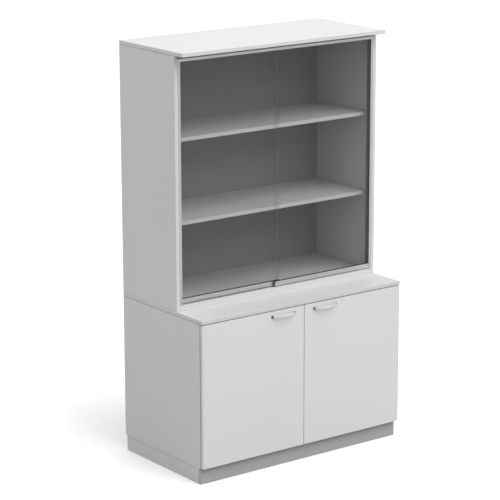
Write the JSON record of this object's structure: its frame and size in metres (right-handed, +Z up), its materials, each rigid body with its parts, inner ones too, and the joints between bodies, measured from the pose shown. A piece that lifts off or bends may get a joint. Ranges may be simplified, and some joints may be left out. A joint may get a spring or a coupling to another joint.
{
  "type": "two-part cabinet with sliding glass doors",
  "caption": "Grey storage cabinet: shallow glass-front upper case with sliding panes and shelves, on a deeper cupboard with hinged doors, bow handles and a recessed plinth.",
  "frame": {"origin": "on the floor, under the middle of the box that holds the whole cabinet, handles included", "axes": "+Z up, -Y out of the front, +X to the right as seen from the front"},
  "size_m": [1.2, 0.683, 2.033],
  "materials": {
    "board": "light grey melamine-faced board, fine matt texture",
    "back_board": "mid grey coated fibreboard, matt",
    "tinted_glass": "grey tinted float glass, polished",
    "frame_aluminium": "natural anodised, satin",
    "track_plastic": "pale grey extruded plastic, satin",
    "handle_metal": "satin",
    "nickel_steel": "nickel plated, satin",
    "zinc_steel": "zinc plated",
    "dark_plastic": "dark grey moulded plastic",
    "roller_nylon": "white nylon",
    "bumper_rubber": "matt rubber",
    "beech_dowel": "raw beech"
  },
  "bodies": {
    "root": {"plinth_front": "board", "plinth_back": "board", "plinth_side_left": "board", "plinth_side_right": "board", "base_side_left": "board", "base_side_right": "board", "base_bottom": "board", "base_back": "back_board", "base_rail_front": "board", "base_rail_rear": "board", "base_top": "board", "base_shelf": "board", "upper_side_left": "board", "upper_side_right": "board", "upper_bottom": "board", "upper_ceiling": "board", "upper_back": "back_board", "top_board": "board", "upper_shelf_low": "board", "upper_shelf_high": "board", "shelf_pins": "zinc_steel", "carcass_dowels": "beech_dowel", "joining_bolts": "zinc_steel", "board_screws": "zinc_steel", "top_track": "frame_aluminium", "bottom_track": "track_plastic", "side_profile_left": "frame_aluminium", "side_profile_right": "frame_aluminium", "hinge_arms": "nickel_steel", "hinge_arm_pins": "nickel_steel", "hinge_plates": "nickel_steel", "hinge_plate_screws": "nickel_steel"},
    "left_pane": {"glass_left": "tinted_glass", "gasket_left": "bumper_rubber", "shoe_left": "frame_aluminium", "shoe_caps_left": "dark_plastic", "glass_guides_left": "dark_plastic", "roller_axles_left": "zinc_steel"},
    "left_outer_roller": {"roller_left_outer": "roller_nylon"},
    "left_inner_roller": {"roller_left_inner": "roller_nylon"},
    "left_links": {"hinge_links_left": "nickel_steel"},
    "left_door": {"door_left": "board", "handle_left": "handle_metal", "handle_screws_left": "zinc_steel", "hinge_cups_left": "nickel_steel", "door_bumpers_left": "bumper_rubber"},
    "right_pane": {"glass_right": "tinted_glass", "gasket_right": "bumper_rubber", "shoe_right": "frame_aluminium", "shoe_caps_right": "dark_plastic", "glass_guides_right": "dark_plastic", "roller_axles_right": "zinc_steel"},
    "right_outer_roller": {"roller_right_outer": "roller_nylon"},
    "right_inner_roller": {"roller_right_inner": "roller_nylon"},
    "right_links": {"hinge_links_right": "nickel_steel"},
    "right_door": {"door_right": "board", "handle_right": "handle_metal", "handle_screws_right": "zinc_steel", "hinge_cups_right": "nickel_steel", "door_bumpers_right": "bumper_rubber"}
  },
  "joints": [
    {"name": "left_pane_slide", "type": "slide", "parent": "root", "child": "left_pane", "axis": [1, 0, 0], "range_m": [0, 0.558]},
    {"name": "left_outer_roller_turn", "type": "hinge", "parent": "left_pane", "child": "left_outer_roller", "pos_m": [-0.517, -0.0888, 0.8372], "axis": [0, 1, 0], "continuous": true},
    {"name": "left_inner_roller_turn", "type": "hinge", "parent": "left_pane", "child": "left_inner_roller", "pos_m": [-0.041, -0.0888, 0.8372], "axis": [0, 1, 0], "continuous": true},
    {"name": "left_link_fold", "type": "hinge", "parent": "root", "child": "left_links", "pos_m": [-0.567, -0.3, 0.4325], "axis": [0, 0, 1], "range_deg": [0, 32]},
    {"name": "left_door_swing", "type": "hinge", "parent": "left_links", "child": "left_door", "pos_m": [-0.585, -0.3, 0.4325], "axis": [0, 0, -1], "range_deg": [0, 128]},
    {"name": "right_pane_slide", "type": "slide", "parent": "root", "child": "right_pane", "axis": [-1, 0, 0], "range_m": [0, 0.558]},
    {"name": "right_outer_roller_turn", "type": "hinge", "parent": "right_pane", "child": "right_outer_roller", "pos_m": [0.517, -0.1028, 0.8372], "axis": [0, -1, 0], "continuous": true},
    {"name": "right_inner_roller_turn", "type": "hinge", "parent": "right_pane", "child": "right_inner_roller", "pos_m": [0.041, -0.1028, 0.8372], "axis": [0, -1, 0], "continuous": true},
    {"name": "right_link_fold", "type": "hinge", "parent": "root", "child": "right_links", "pos_m": [0.567, -0.3, 0.4325], "axis": [0, 0, -1], "range_deg": [0, 32]},
    {"name": "right_door_swing", "type": "hinge", "parent": "right_links", "child": "right_door", "pos_m": [0.585, -0.3, 0.4325], "axis": [0, 0, 1], "range_deg": [0, 128]}
  ],
  "couplings": [
    {"joint": "left_outer_roller_turn", "follows": "left_pane_slide", "rad_per_m": 133.33},
    {"joint": "left_inner_roller_turn", "follows": "left_pane_slide", "rad_per_m": 133.33},
    {"joint": "left_door_swing", "follows": "left_link_fold", "ratio": 4},
    {"joint": "right_outer_roller_turn", "follows": "right_pane_slide", "rad_per_m": 133.33},
    {"joint": "right_inner_roller_turn", "follows": "right_pane_slide", "rad_per_m": 133.33},
    {"joint": "right_door_swing", "follows": "right_link_fold", "ratio": 4}
  ]
}
